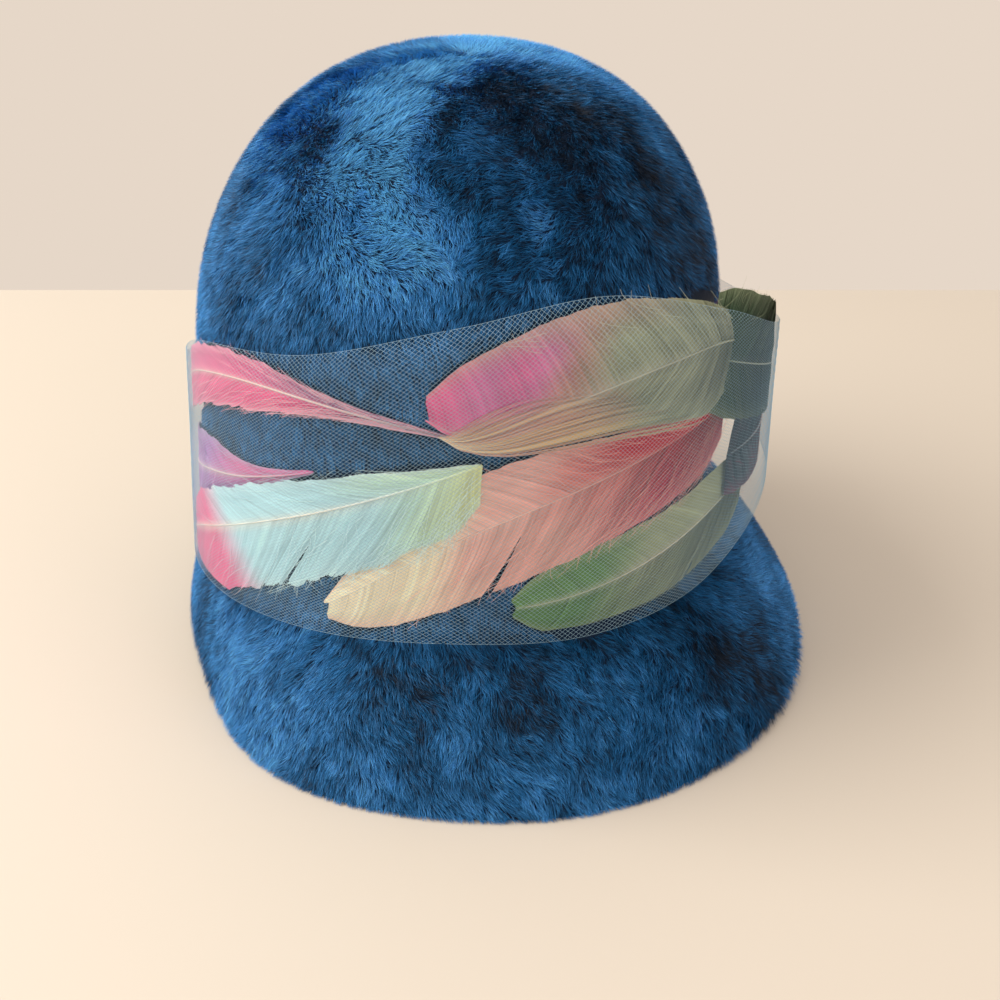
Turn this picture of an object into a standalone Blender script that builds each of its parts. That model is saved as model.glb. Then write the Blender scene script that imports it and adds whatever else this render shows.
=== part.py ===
"""Cloche hat: one long-napped fur felt hood, a band of dyed feathers and a net veil over them.

Metres, +Z up. The hat's front faces -Y, and a bearing is measured round the crown from the
front towards +X. The brim rests on Z = 0, and the origin lies under the middle of the hat.
"""

import math

import bpy
from mathutils import Vector

# Hood
CROWN_HALF_WIDTH = 0.0886  # across the hat at the crown's widest
CROWN_FRONT_LENGTH = 0.1005  # from the crown's axis to its front, at the widest
CROWN_BACK_LENGTH = 0.1015
CROWN_TOP = 0.2055  # above the surface that the brim rests on
CROWN_LEAN = 0.0050  # how far the top sits to the side of the foot's middle
BRIM_DROP = 0.0585  # from the crown's foot at the front down to that surface
BRIM_REACH = 0.0375  # how far the brim stands out from the crown's foot
FELT_WALL = 0.0030
EDGE_ROUND = 0.0011
REST_PRESS = 0.0014  # how far the felt edge is flattened where the brim rests
HOOD_SIDES = 54
CROWN_RINGS = 14
BRIM_RINGS = 5

# Band
BAND_RADIUS = 0.097  # of the circle on which the feathers are laid out flat
STAND_OUT = 0.0185  # how far the innermost feather stands off the felt, at the most
NET_OVER = 0.0058  # how far the net stands off that feather, at the most
VANE_WIDTH = 0.0200  # from the shaft to the edge of a wide feather
FEATHER_THICKNESS = 0.0008
LAYER_PITCH = 0.0013  # from one layer of feathers to the next
FEATHER_STEPS = 14
FEATHER_COLUMNS = 4
LOWEST_RISE = 0.005  # the band's feathers stay above the crown's foot
NET_THICKNESS = 0.0008
NET_SIDES = 60
NET_RINGS = 9
TUCK_FROM = 0.75  # the share of the net's height from which its upper edge is tucked in

# How the crown rises, from its foot to the top: shares of its height and of its half width.
CROWN_PROFILE = (
    {"rise": 0.00, "spread": 1.030},
    {"rise": 0.12, "spread": 1.022},
    {"rise": 0.28, "spread": 1.010},
    {"rise": 0.44, "spread": 1.000},
    {"rise": 0.58, "spread": 0.980},
    {"rise": 0.70, "spread": 0.912},
    {"rise": 0.80, "spread": 0.808},
    {"rise": 0.88, "spread": 0.682},
    {"rise": 0.945, "spread": 0.505},
    {"rise": 0.985, "spread": 0.290},
    {"rise": 1.00, "spread": 0.000},
)

# How the brim leaves the crown, from its foot to its edge: shares of the reach and of the drop.
BRIM_PROFILE = (
    {"out": 0.00, "down": 0.00},
    {"out": 0.20, "down": 0.10},
    {"out": 0.49, "down": 0.33},
    {"out": 0.72, "down": 0.60},
    {"out": 0.90, "down": 0.84},
    {"out": 1.00, "down": 1.00},
)

# How the brim waves round the hat: the share of the reach at each bearing, and the heights of
# the crown's foot and of the brim's edge in shares of the drop.
BRIM_WAVE = (
    {"bearing": 0, "reach": 0.74, "foot": 0.900, "edge": 0.000},
    {"bearing": 30, "reach": 0.99, "foot": 0.800, "edge": 0.002},
    {"bearing": 60, "reach": 1.13, "foot": 0.766, "edge": 0.050},
    {"bearing": 90, "reach": 0.93, "foot": 0.820, "edge": 0.120},
    {"bearing": 120, "reach": 0.76, "foot": 0.855, "edge": 0.078},
    {"bearing": 150, "reach": 0.61, "foot": 0.850, "edge": 0.029},
    {"bearing": 180, "reach": 0.54, "foot": 0.800, "edge": 0.000},
    {"bearing": 210, "reach": 0.43, "foot": 0.707, "edge": 0.012},
    {"bearing": 240, "reach": 0.32, "foot": 0.612, "edge": 0.046},
    {"bearing": 270, "reach": 0.23, "foot": 0.560, "edge": 0.080},
    {"bearing": 300, "reach": 0.25, "foot": 0.702, "edge": 0.037},
    {"bearing": 330, "reach": 0.60, "foot": 0.837, "edge": 0.005},
)

# How the band goes round the crown, in shares of how far the innermost feather stands off the
# felt and the net off that feather, and in shares of the crown's height: the net's two edges.
# Its tuck is the share of its distance off the felt that the net loses at its upper edge.
BAND_WAVE = (
    {"bearing": 0, "stand": 0.03, "net": 1.00, "low": 0.00, "high": 0.645, "tuck": 0.00},
    {"bearing": 30, "stand": 0.04, "net": 1.00, "low": 0.00, "high": 0.68, "tuck": 0.00},
    {"bearing": 60, "stand": 0.34, "net": 1.00, "low": 0.01, "high": 0.58, "tuck": 0.00},
    {"bearing": 90, "stand": 1.00, "net": 0.90, "low": 0.06, "high": 0.42, "tuck": 0.00},
    {"bearing": 120, "stand": 0.84, "net": 0.83, "low": 0.07, "high": 0.37, "tuck": 0.00},
    {"bearing": 150, "stand": 0.38, "net": 0.78, "low": 0.04, "high": 0.45, "tuck": 0.00},
    {"bearing": 180, "stand": 0.11, "net": 0.78, "low": 0.01, "high": 0.48, "tuck": 0.00},
    {"bearing": 210, "stand": 0.03, "net": 0.78, "low": 0.00, "high": 0.48, "tuck": 0.00},
    {"bearing": 240, "stand": 0.03, "net": 0.78, "low": 0.00, "high": 0.46, "tuck": 0.00},
    {"bearing": 270, "stand": 0.03, "net": 0.73, "low": 0.00, "high": 0.41, "tuck": 0.00},
    {"bearing": 300, "stand": 0.03, "net": 0.76, "low": 0.00, "high": 0.53, "tuck": 0.00},
    {"bearing": 330, "stand": 0.03, "net": 0.86, "low": 0.00, "high": 0.575, "tuck": 0.55},
)

# How wide a feather's vane is from its quill to its tip, in shares of its full width: a vane
# that ends in a point, one with a round end, one that is broad from the quill on, one that
# widens late and one that is wide at the quill and narrows.
VANE_OUTLINE = (
    {"along": 0.00, "pointed": 0.06, "round": 0.06, "broad": 0.40, "late": 0.05, "wedge": 0.80},
    {"along": 0.10, "pointed": 0.24, "round": 0.30, "broad": 0.90, "late": 0.11, "wedge": 0.95},
    {"along": 0.25, "pointed": 0.60, "round": 0.66, "broad": 1.00, "late": 0.30, "wedge": 1.00},
    {"along": 0.45, "pointed": 0.94, "round": 0.92, "broad": 1.00, "late": 0.82, "wedge": 1.00},
    {"along": 0.65, "pointed": 1.00, "round": 1.00, "broad": 0.97, "late": 0.98, "wedge": 0.90},
    {"along": 0.80, "pointed": 0.80, "round": 0.97, "broad": 0.88, "late": 1.00, "wedge": 0.72},
    {"along": 0.92, "pointed": 0.42, "round": 0.72, "broad": 0.62, "late": 0.84, "wedge": 0.52},
    {"along": 1.00, "pointed": 0.08, "round": 0.24, "broad": 0.22, "late": 0.45, "wedge": 0.20},
)

# Where each feather lies. Its quill and its tip are bearings in degrees and heights in shares
# of the crown's height; its bow and its vanes' widths are shares of a wide feather's. Its lift
# is how many layers further out its tip lies than its quill.
FEATHERS = (
    {"name": "feather_pink", "layer": 0, "lift": 2.1, "quill": (4, 0.43), "tip": (-95, 0.30),
     "bow": 0.90, "above": (0.50, "late"), "below": (0.50, "late"),
     "color": (0.75, 0.13, 0.27)},
    {"name": "feather_orchid", "layer": 0, "lift": 1.0, "quill": (-27, 0.34), "tip": (-95, 0.12),
     "bow": 0.00, "above": (0.80, "late"), "below": (0.65, "late"),
     "color": (0.38, 0.13, 0.38)},
    {"name": "feather_mint", "layer": 2, "lift": 0.0, "quill": (6, 0.39), "tip": (-80, 0.03),
     "bow": 0.00, "above": (0.70, "round"), "below": (1.10, "broad"),
     "color": (0.38, 0.68, 0.68)},
    {"name": "feather_sage", "layer": 3, "lift": 0.0, "quill": (62, 0.475), "tip": (-4, 0.51),
     "bow": 0.45, "above": (0.875, "wedge"), "below": (0.86, "broad"),
     "color": (0.36, 0.36, 0.22)},
    {"name": "feather_coral", "layer": 1, "lift": 0.0, "quill": (64, 0.38), "tip": (-24, 0.05),
     "bow": 0.60, "above": (0.85, "pointed"), "below": (1.08, "broad"),
     "color": (0.62, 0.26, 0.20)},
    {"name": "feather_green", "layer": 0, "lift": 0.0, "quill": (76, 0.13), "tip": (13, 0.06),
     "bow": 0.00, "above": (0.80, "broad"), "below": (0.72, "broad"),
     "color": (0.12, 0.23, 0.10)},
    {"name": "feather_pine", "layer": 2, "lift": 0.6, "quill": (54, 0.52), "tip": (100, 0.26),
     "bow": 0.00, "above": (1.00, "wedge"), "below": (0.85, "broad"),
     "color": (0.05, 0.10, 0.06)},
    {"name": "feather_plum", "layer": 1, "lift": 0.0, "quill": (66, 0.24), "tip": (112, 0.15),
     "bow": 0.00, "above": (0.95, "wedge"), "below": (0.85, "wedge"),
     "color": (0.30, 0.05, 0.12)},
    {"name": "feather_back_rose", "layer": 1, "lift": 0.0, "quill": (190, 0.34), "tip": (254, 0.36),
     "bow": 0.15, "above": (0.60, "round"), "below": (0.60, "round"),
     "color": (0.75, 0.13, 0.27)},
    {"name": "feather_back_lilac", "layer": 0, "lift": 0.0, "quill": (189, 0.25), "tip": (248, 0.11),
     "bow": 0.00, "above": (0.60, "round"), "below": (0.60, "round"),
     "color": (0.38, 0.13, 0.38)},
    {"name": "feather_back_aqua", "layer": 2, "lift": 0.0, "quill": (184, 0.30), "tip": (238, 0.22),
     "bow": 0.10, "above": (0.60, "pointed"), "below": (0.60, "pointed"),
     "color": (0.38, 0.68, 0.68)},
    {"name": "feather_back_sage", "layer": 1, "lift": 0.0, "quill": (170, 0.32), "tip": (108, 0.29),
     "bow": 0.05, "above": (0.55, "round"), "below": (0.55, "round"),
     "color": (0.36, 0.36, 0.22)},
    {"name": "feather_back_coral", "layer": 0, "lift": 0.0, "quill": (171, 0.25), "tip": (130, 0.13),
     "bow": 0.00, "above": (0.50, "round"), "below": (0.50, "round"),
     "color": (0.62, 0.26, 0.20)},
    {"name": "feather_back_green", "layer": 2, "lift": 0.0, "quill": (176, 0.30), "tip": (124, 0.21),
     "bow": 0.00, "above": (0.50, "pointed"), "below": (0.50, "pointed"),
     "color": (0.12, 0.23, 0.10)},
)

FELT_COLOR = (0.008, 0.055, 0.14)
FELT_ROUGHNESS = 0.85
FEATHER_ROUGHNESS = 0.60
NET_COLOR = (0.16, 0.31, 0.48)
NET_ROUGHNESS = 0.55
NET_COVER = 0.35  # the share of the net's area that its threads cover


def spline(before, here, after, beyond, share):
    """Catmull-Rom between here and after."""
    return 0.5 * (
        2 * here
        + (after - before) * share
        + (2 * before - 5 * here + 4 * after - beyond) * share**2
        + (3 * here - before - 3 * after + beyond) * share**3
    )


def wave_at(rows, bearing, column):
    """A column of a table of bearings, read smoothly at any bearing in degrees."""
    place = bearing % 360 / (360 / len(rows))
    index = int(place)
    values = [rows[(index + k) % len(rows)][column] for k in (-1, 0, 1, 2)]
    return spline(*values, place - index)


def profile_at(rows, place, columns):
    """Columns of an open table, read smoothly at a place from 0, its first row, to 1, its last."""
    along = min(max(place, 0.0), 1.0) * (len(rows) - 1)
    index = min(int(along), len(rows) - 2)
    picks = [min(max(index + k, 0), len(rows) - 1) for k in (-1, 0, 1, 2)]
    return [spline(*(rows[k][column] for k in picks), along - index) for column in columns]


def looked_up(rows, key, value, column):
    """A column of an open table at the place where the rising column called key has a value."""
    low, high = 0.0, 1.0
    for _ in range(30):
        middle = (low + high) / 2
        if profile_at(rows, middle, (key,))[0] < value:
            low = middle
        else:
            high = middle
    return max(profile_at(rows, low, (column,))[0], 0.0)


def oval(bearing, half_width):
    """A point of the crown's plan: an oval whose front and back halves have their own length."""
    angle = math.radians(bearing)
    length = CROWN_FRONT_LENGTH if math.cos(angle) > 0 else CROWN_BACK_LENGTH
    return half_width * math.sin(angle), -half_width * math.cos(angle) * length / CROWN_HALF_WIDTH


def foot_height(bearing):
    """How high the crown's foot lies above the surface that the brim rests on."""
    return BRIM_DROP * wave_at(BRIM_WAVE, bearing, "foot")


def on_crown(bearing, rise):
    """The crown's surface at a bearing and at a share of the height from foot to top."""
    x, y = oval(bearing, CROWN_HALF_WIDTH * looked_up(CROWN_PROFILE, "rise", rise, "spread"))
    foot = foot_height(bearing)
    return Vector((x + CROWN_LEAN * rise, y, foot + (CROWN_TOP - foot) * rise))


def off_crown(bearing, rise, proud):
    """The point that stands proud of the crown there, straight out from its surface."""
    around = on_crown(bearing + 1, rise) - on_crown(bearing - 1, rise)
    upward = on_crown(bearing, rise + 0.01) - on_crown(bearing, rise - 0.01)
    return on_crown(bearing, rise) + around.cross(upward).normalized() * proud


def off_band(bearing, rise, layer):
    """A point of the band, a layer's distance out from its innermost feather."""
    return off_crown(bearing, rise, STAND_OUT * wave_at(BAND_WAVE, bearing, "stand") + layer)


def bearing_of(x, y):
    return math.degrees(math.atan2(x, -y))


def painted(name, color, roughness, alpha=1.0):
    """A plain material of a dyed fibre."""
    material = bpy.data.materials.new(name)
    material.use_nodes = True
    shader = material.node_tree.nodes["Principled BSDF"]
    shader.inputs["Base Color"].default_value = (*color, 1.0)
    shader.inputs["Roughness"].default_value = roughness
    shader.inputs["Alpha"].default_value = alpha
    return material


def applied(part):
    """The part with its modifiers made real."""
    graph = bpy.context.evaluated_depsgraph_get()
    mesh = bpy.data.meshes.new_from_object(part.evaluated_get(graph))
    part.modifiers.clear()
    part.data = mesh
    return part


def turned(name, points, sides):
    """A surface turned about the crown's axis from an outline of radii and heights."""
    outline = bpy.data.meshes.new(name + "_outline")
    edges = [(k, k + 1) for k in range(len(points) - 1)]
    outline.from_pydata([(radius, 0, height) for radius, height in points], edges, [])
    blank = bpy.data.objects.new(name, outline)
    bpy.context.scene.collection.objects.link(blank)
    turn = blank.modifiers.new("turn", "SCREW")
    turn.steps = turn.render_steps = sides
    turn.merge_threshold = 0.0001
    turn.use_merge_vertices = True
    return applied(blank)


def walled(part, thickness, offset):
    """The part's surface given a wall; an offset of -1 keeps the surface as the outer face."""
    wall = part.modifiers.new("wall", "SOLIDIFY")
    wall.thickness = thickness
    wall.offset = offset
    wall.use_even_offset = True
    return applied(part)


def hood_outline():
    """Radii and heights of the round hood before it is blocked, from the top to the edge."""
    points = []
    for ring in range(CROWN_RINGS + 1):
        rise, spread = profile_at(CROWN_PROFILE, 1 - ring / CROWN_RINGS, ("rise", "spread"))
        points.append((CROWN_HALF_WIDTH * max(spread, 0), rise))
    foot = points[-1][0]
    for ring in range(1, BRIM_RINGS + 1):
        out, down = profile_at(BRIM_PROFILE, ring / BRIM_RINGS, ("out", "down"))
        points.append((foot + BRIM_REACH * out, -down))
    return points, foot


def felt_hood():
    """The hood, blocked from a round cone: an oval crown and a brim whose edge waves."""
    points, foot_radius = hood_outline()
    hood = turned("felt_hood", points, HOOD_SIDES)
    for vertex in hood.data.vertices:
        radius, bearing = math.hypot(vertex.co.x, vertex.co.y), bearing_of(*vertex.co.xy)
        foot = foot_height(bearing)
        if vertex.co.z >= 0:
            x, y = oval(bearing, radius)
            height = foot + (CROWN_TOP - foot) * vertex.co.z
            vertex.co = (x + CROWN_LEAN * vertex.co.z, y, height)
            continue
        x, y = oval(bearing, foot_radius)
        reach = (radius - foot_radius) * wave_at(BRIM_WAVE, bearing, "reach")
        drop = foot - BRIM_DROP * wave_at(BRIM_WAVE, bearing, "edge")
        angle = math.radians(bearing)
        vertex.co = (
            x + reach * math.sin(angle),
            y - reach * math.cos(angle),
            foot + drop * vertex.co.z,
        )
    walled(hood, FELT_WALL, -1)
    edge = hood.modifiers.new("edge", "BEVEL")
    edge.width = EDGE_ROUND
    edge.segments = 2
    edge.limit_method = "ANGLE"
    edge.angle_limit = math.radians(50)
    return applied(hood)


def feather(row):
    """A feather laid on the band: a grid bent along its shaft, thin all over."""
    bpy.ops.mesh.primitive_grid_add(
        x_subdivisions=FEATHER_STEPS, y_subdivisions=FEATHER_COLUMNS, size=2
    )
    part = bpy.context.object
    part.name = part.data.name = row["name"]
    metres = Vector((math.radians(BAND_RADIUS), CROWN_TOP - BRIM_DROP))
    quill, tip = Vector(row["quill"]) * metres, Vector(row["tip"]) * metres
    shaft = tip - quill
    across = Vector((-shaft.y, shaft.x)).normalized()
    if across.y < 0:
        across.negate()
    for vertex in part.data.vertices:
        along, side = (vertex.co.x + 1) / 2, vertex.co.y
        width, outline = row["above"] if side > 0 else row["below"]
        share = looked_up(VANE_OUTLINE, "along", along, outline)
        bow = row["bow"] * math.sin(math.pi * along)
        place = quill + shaft * along + across * VANE_WIDTH * (bow + width * share * side)
        rise = max(place.y / metres.y, LOWEST_RISE)
        layer = LAYER_PITCH * (row["layer"] + row["lift"] * along)
        vertex.co = off_band(place.x / metres.x, rise, layer + FEATHER_THICKNESS / 2)
    return walled(part, FEATHER_THICKNESS, 0)


def net_veil():
    """The net that holds the feathers, a band round the crown."""
    points = [(CROWN_HALF_WIDTH, ring / NET_RINGS) for ring in range(NET_RINGS + 1)]
    net = turned("net_veil", points, NET_SIDES)
    for vertex in net.data.vertices:
        bearing = bearing_of(*vertex.co.xy)
        low = wave_at(BAND_WAVE, bearing, "low")
        high = wave_at(BAND_WAVE, bearing, "high")
        stand = STAND_OUT * wave_at(BAND_WAVE, bearing, "stand")
        stand += NET_OVER * wave_at(BAND_WAVE, bearing, "net")
        edge = max((vertex.co.z - TUCK_FROM) / (1 - TUCK_FROM), 0)
        tuck = wave_at(BAND_WAVE, bearing, "tuck") * edge**2
        rise = low + (high - low) * vertex.co.z
        vertex.co = off_crown(bearing, rise, stand * (1 - tuck))
    return walled(net, NET_THICKNESS, 0)


def set_down(parts):
    """Rests the hat on Z = 0, its felt edge pressed a little flat, over the origin."""
    corners = [vertex.co for part in parts for vertex in part.data.vertices]
    low = Vector([min(corner[axis] for corner in corners) for axis in range(3)])
    high = Vector([max(corner[axis] for corner in corners) for axis in range(3)])
    move = Vector((-(low.x + high.x) / 2, -(low.y + high.y) / 2, -low.z - REST_PRESS))
    for part in parts:
        for vertex in part.data.vertices:
            vertex.co += move
            vertex.co.z = max(vertex.co.z, 0.0)


def clear_scene():
    for found in list(bpy.data.objects):
        bpy.data.objects.remove(found)


def main():
    clear_scene()
    hood = felt_hood()
    hood.data.materials.append(painted("fur_felt", FELT_COLOR, FELT_ROUGHNESS))
    parts = [hood]
    for row in FEATHERS:
        part = feather(row)
        dye = painted(row["name"] + "_dye", row["color"], FEATHER_ROUGHNESS)
        part.data.materials.append(dye)
        parts.append(part)
    net = net_veil()
    net.data.materials.append(painted("net_thread", NET_COLOR, NET_ROUGHNESS, NET_COVER))
    parts.append(net)
    set_down(parts)
    hat = bpy.data.collections.new("cloche_hat")
    bpy.context.scene.collection.children.link(hat)
    for part in parts:
        for holder in list(part.users_collection):
            holder.objects.unlink(part)
        hat.objects.link(part)
        part.data.shade_smooth()
        part.data.set_sharp_from_angle(angle=math.radians(40))


main()
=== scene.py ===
"""Cloche hat: long-napped felt hood, dyed feathers and a net veil, dressed over the part."""

import math

import bmesh
import bpy
import numpy as np
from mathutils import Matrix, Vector
from mathutils.kdtree import KDTree


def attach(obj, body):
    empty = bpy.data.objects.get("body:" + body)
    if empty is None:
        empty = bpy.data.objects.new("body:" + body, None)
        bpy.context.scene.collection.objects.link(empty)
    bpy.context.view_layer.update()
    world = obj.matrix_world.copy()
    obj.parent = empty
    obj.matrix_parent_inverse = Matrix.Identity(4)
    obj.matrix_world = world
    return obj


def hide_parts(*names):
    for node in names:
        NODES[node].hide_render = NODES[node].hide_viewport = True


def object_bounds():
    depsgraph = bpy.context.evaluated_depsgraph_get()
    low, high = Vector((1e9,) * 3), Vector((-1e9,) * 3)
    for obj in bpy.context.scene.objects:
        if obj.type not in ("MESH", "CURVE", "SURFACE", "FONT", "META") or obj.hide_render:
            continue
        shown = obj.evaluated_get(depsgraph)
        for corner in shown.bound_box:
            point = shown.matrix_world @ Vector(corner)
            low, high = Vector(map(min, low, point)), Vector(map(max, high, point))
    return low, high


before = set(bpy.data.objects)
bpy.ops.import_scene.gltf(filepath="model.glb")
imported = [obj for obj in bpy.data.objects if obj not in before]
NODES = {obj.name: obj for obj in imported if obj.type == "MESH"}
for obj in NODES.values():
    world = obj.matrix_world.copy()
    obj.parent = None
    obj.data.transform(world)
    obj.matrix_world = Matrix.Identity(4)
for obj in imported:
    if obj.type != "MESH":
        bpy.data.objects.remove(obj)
CAD_LOW, CAD_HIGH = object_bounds()
MM = 0.001

# The crown and the band, with the part's own sizes
CROWN_HALF_WIDTH = 0.0886
CROWN_FRONT_LENGTH = 0.1005
CROWN_BACK_LENGTH = 0.1015
CROWN_TOP = 0.2055
CROWN_LEAN = 0.0050
BRIM_DROP = 0.0585
BAND_RADIUS = 0.097
STAND_OUT = 0.0185
NET_OVER = 0.0058
VANE_WIDTH = 0.0200
FEATHER_THICKNESS = 0.0008
LAYER_PITCH = 0.0013
LOWEST_RISE = 0.005

CROWN_PROFILE = (
    {"rise": 0.00, "spread": 1.030},
    {"rise": 0.12, "spread": 1.022},
    {"rise": 0.28, "spread": 1.010},
    {"rise": 0.44, "spread": 1.000},
    {"rise": 0.58, "spread": 0.980},
    {"rise": 0.70, "spread": 0.912},
    {"rise": 0.80, "spread": 0.808},
    {"rise": 0.88, "spread": 0.682},
    {"rise": 0.945, "spread": 0.505},
    {"rise": 0.985, "spread": 0.290},
    {"rise": 1.00, "spread": 0.000},
)

# The height of the crown's foot at each bearing, in shares of the brim's drop.
FOOT_WAVE = (
    {"bearing": 0, "foot": 0.900},
    {"bearing": 30, "foot": 0.800},
    {"bearing": 60, "foot": 0.766},
    {"bearing": 90, "foot": 0.820},
    {"bearing": 120, "foot": 0.855},
    {"bearing": 150, "foot": 0.850},
    {"bearing": 180, "foot": 0.800},
    {"bearing": 210, "foot": 0.707},
    {"bearing": 240, "foot": 0.612},
    {"bearing": 270, "foot": 0.560},
    {"bearing": 300, "foot": 0.702},
    {"bearing": 330, "foot": 0.837},
)

BAND_WAVE = (
    {"bearing": 0, "stand": 0.03, "net": 1.00, "low": 0.00, "high": 0.645, "tuck": 0.00},
    {"bearing": 30, "stand": 0.04, "net": 1.00, "low": 0.00, "high": 0.68, "tuck": 0.00},
    {"bearing": 60, "stand": 0.34, "net": 1.00, "low": 0.01, "high": 0.58, "tuck": 0.00},
    {"bearing": 90, "stand": 1.00, "net": 0.90, "low": 0.06, "high": 0.42, "tuck": 0.00},
    {"bearing": 120, "stand": 0.84, "net": 0.83, "low": 0.07, "high": 0.37, "tuck": 0.00},
    {"bearing": 150, "stand": 0.38, "net": 0.78, "low": 0.04, "high": 0.45, "tuck": 0.00},
    {"bearing": 180, "stand": 0.11, "net": 0.78, "low": 0.01, "high": 0.48, "tuck": 0.00},
    {"bearing": 210, "stand": 0.03, "net": 0.78, "low": 0.00, "high": 0.48, "tuck": 0.00},
    {"bearing": 240, "stand": 0.03, "net": 0.78, "low": 0.00, "high": 0.46, "tuck": 0.00},
    {"bearing": 270, "stand": 0.03, "net": 0.73, "low": 0.00, "high": 0.41, "tuck": 0.00},
    {"bearing": 300, "stand": 0.03, "net": 0.76, "low": 0.00, "high": 0.53, "tuck": 0.00},
    {"bearing": 330, "stand": 0.03, "net": 0.86, "low": 0.00, "high": 0.575, "tuck": 0.55},
)

VANE_OUTLINE = (
    {"along": 0.00, "pointed": 0.06, "round": 0.06, "broad": 0.40, "late": 0.05, "wedge": 0.80},
    {"along": 0.10, "pointed": 0.24, "round": 0.30, "broad": 0.90, "late": 0.11, "wedge": 0.95},
    {"along": 0.25, "pointed": 0.60, "round": 0.66, "broad": 1.00, "late": 0.30, "wedge": 1.00},
    {"along": 0.45, "pointed": 0.94, "round": 0.92, "broad": 1.00, "late": 0.82, "wedge": 1.00},
    {"along": 0.65, "pointed": 1.00, "round": 1.00, "broad": 0.97, "late": 0.98, "wedge": 0.90},
    {"along": 0.80, "pointed": 0.80, "round": 0.97, "broad": 0.88, "late": 1.00, "wedge": 0.72},
    {"along": 0.92, "pointed": 0.42, "round": 0.72, "broad": 0.62, "late": 0.84, "wedge": 0.52},
    {"along": 1.00, "pointed": 0.08, "round": 0.24, "broad": 0.22, "late": 0.45, "wedge": 0.20},
)

# Dyes, as they look on the hat. The nap's navy is its colour in painted shade and its azure its
# colour in painted sheen.
NAP_PAINTED_SHADE = (6, 24, 42)
TEAL_BLUE = (16, 95, 152)
NAP_PAINTED_SHEEN = (74, 152, 224)
UNDERFELT = (5, 32, 60)
ROSE = (236, 104, 154)
PALE_ROSE = (244, 192, 206)
DUSTY = (150, 108, 140)
ORCHID = (212, 118, 168)
LILAC = (176, 124, 192)
PALE_LILAC = (204, 190, 222)
AQUA = (188, 232, 242)
PALE_AQUA = (216, 242, 248)
LIME = (216, 226, 168)
PALE_LIME = (204, 238, 214)
MAUVE = (196, 148, 136)
SAGE = (158, 166, 138)
PALE_SAGE = (188, 200, 176)
STRAW = (226, 204, 140)
CREAM = (252, 240, 208)
PEACH = (240, 208, 180)
SALMON = (222, 140, 132)
PALE_SALMON = (238, 186, 174)
CORAL = (190, 48, 62)
LEAF = (98, 142, 82)
MOSS = (158, 170, 134)
PINE = (62, 96, 70)
DEEP_PINE = (42, 72, 58)
PLUM = (170, 48, 90)
SLATE = (62, 80, 96)
IVORY = (250, 244, 230)
NET_BLUE = (164, 202, 224)

# Where each feather lies, as in the part: the bearing in degrees and the rise up the crown of
# its quill and its tip, its layer, and how many layers its tip lifts. Its bow and its widths
# above and below the middle are in shares of VANE_WIDTH, each width with its outline.
FEATHERS = (
    {"name": "feather_pink", "layer": 0, "lift": 2.1, "quill": (4, 0.43), "tip": (-95, 0.30),
     "bow": 0.90, "above": (0.50, "late"), "below": (0.50, "late")},
    {"name": "feather_orchid", "layer": 0, "lift": 1.0, "quill": (-27, 0.34), "tip": (-95, 0.12),
     "bow": 0.00, "above": (0.80, "late"), "below": (0.65, "late")},
    {"name": "feather_mint", "layer": 2, "lift": 0.0, "quill": (6, 0.39), "tip": (-80, 0.03),
     "bow": 0.00, "above": (0.70, "round"), "below": (1.10, "broad")},
    {"name": "feather_sage", "layer": 3, "lift": 0.0, "quill": (62, 0.475), "tip": (-4, 0.51),
     "bow": 0.45, "above": (0.875, "wedge"), "below": (0.86, "broad")},
    {"name": "feather_coral", "layer": 1, "lift": 0.0, "quill": (64, 0.38), "tip": (-24, 0.05),
     "bow": 0.60, "above": (0.85, "pointed"), "below": (1.08, "broad")},
    {"name": "feather_green", "layer": 0, "lift": 0.0, "quill": (76, 0.13), "tip": (13, 0.06),
     "bow": 0.00, "above": (0.80, "broad"), "below": (0.72, "broad")},
    {"name": "feather_pine", "layer": 2, "lift": 0.6, "quill": (54, 0.52), "tip": (100, 0.26),
     "bow": 0.00, "above": (1.00, "wedge"), "below": (0.85, "broad")},
    {"name": "feather_plum", "layer": 1, "lift": 0.0, "quill": (66, 0.24), "tip": (112, 0.15),
     "bow": 0.00, "above": (0.95, "wedge"), "below": (0.85, "wedge")},
    {"name": "feather_back_rose", "layer": 1, "lift": 0.0,
     "quill": (190, 0.34), "tip": (254, 0.36),
     "bow": 0.15, "above": (0.60, "round"), "below": (0.60, "round")},
    {"name": "feather_back_lilac", "layer": 0, "lift": 0.0,
     "quill": (189, 0.25), "tip": (248, 0.11),
     "bow": 0.00, "above": (0.60, "round"), "below": (0.60, "round")},
    {"name": "feather_back_aqua", "layer": 2, "lift": 0.0,
     "quill": (184, 0.30), "tip": (238, 0.22),
     "bow": 0.10, "above": (0.60, "pointed"), "below": (0.60, "pointed")},
    {"name": "feather_back_sage", "layer": 1, "lift": 0.0,
     "quill": (170, 0.32), "tip": (108, 0.29),
     "bow": 0.05, "above": (0.55, "round"), "below": (0.55, "round")},
    {"name": "feather_back_coral", "layer": 0, "lift": 0.0,
     "quill": (171, 0.25), "tip": (130, 0.13),
     "bow": 0.00, "above": (0.50, "round"), "below": (0.50, "round")},
    {"name": "feather_back_green", "layer": 2, "lift": 0.0,
     "quill": (176, 0.30), "tip": (124, 0.21),
     "bow": 0.00, "above": (0.50, "pointed"), "below": (0.50, "pointed")},
)
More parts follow.
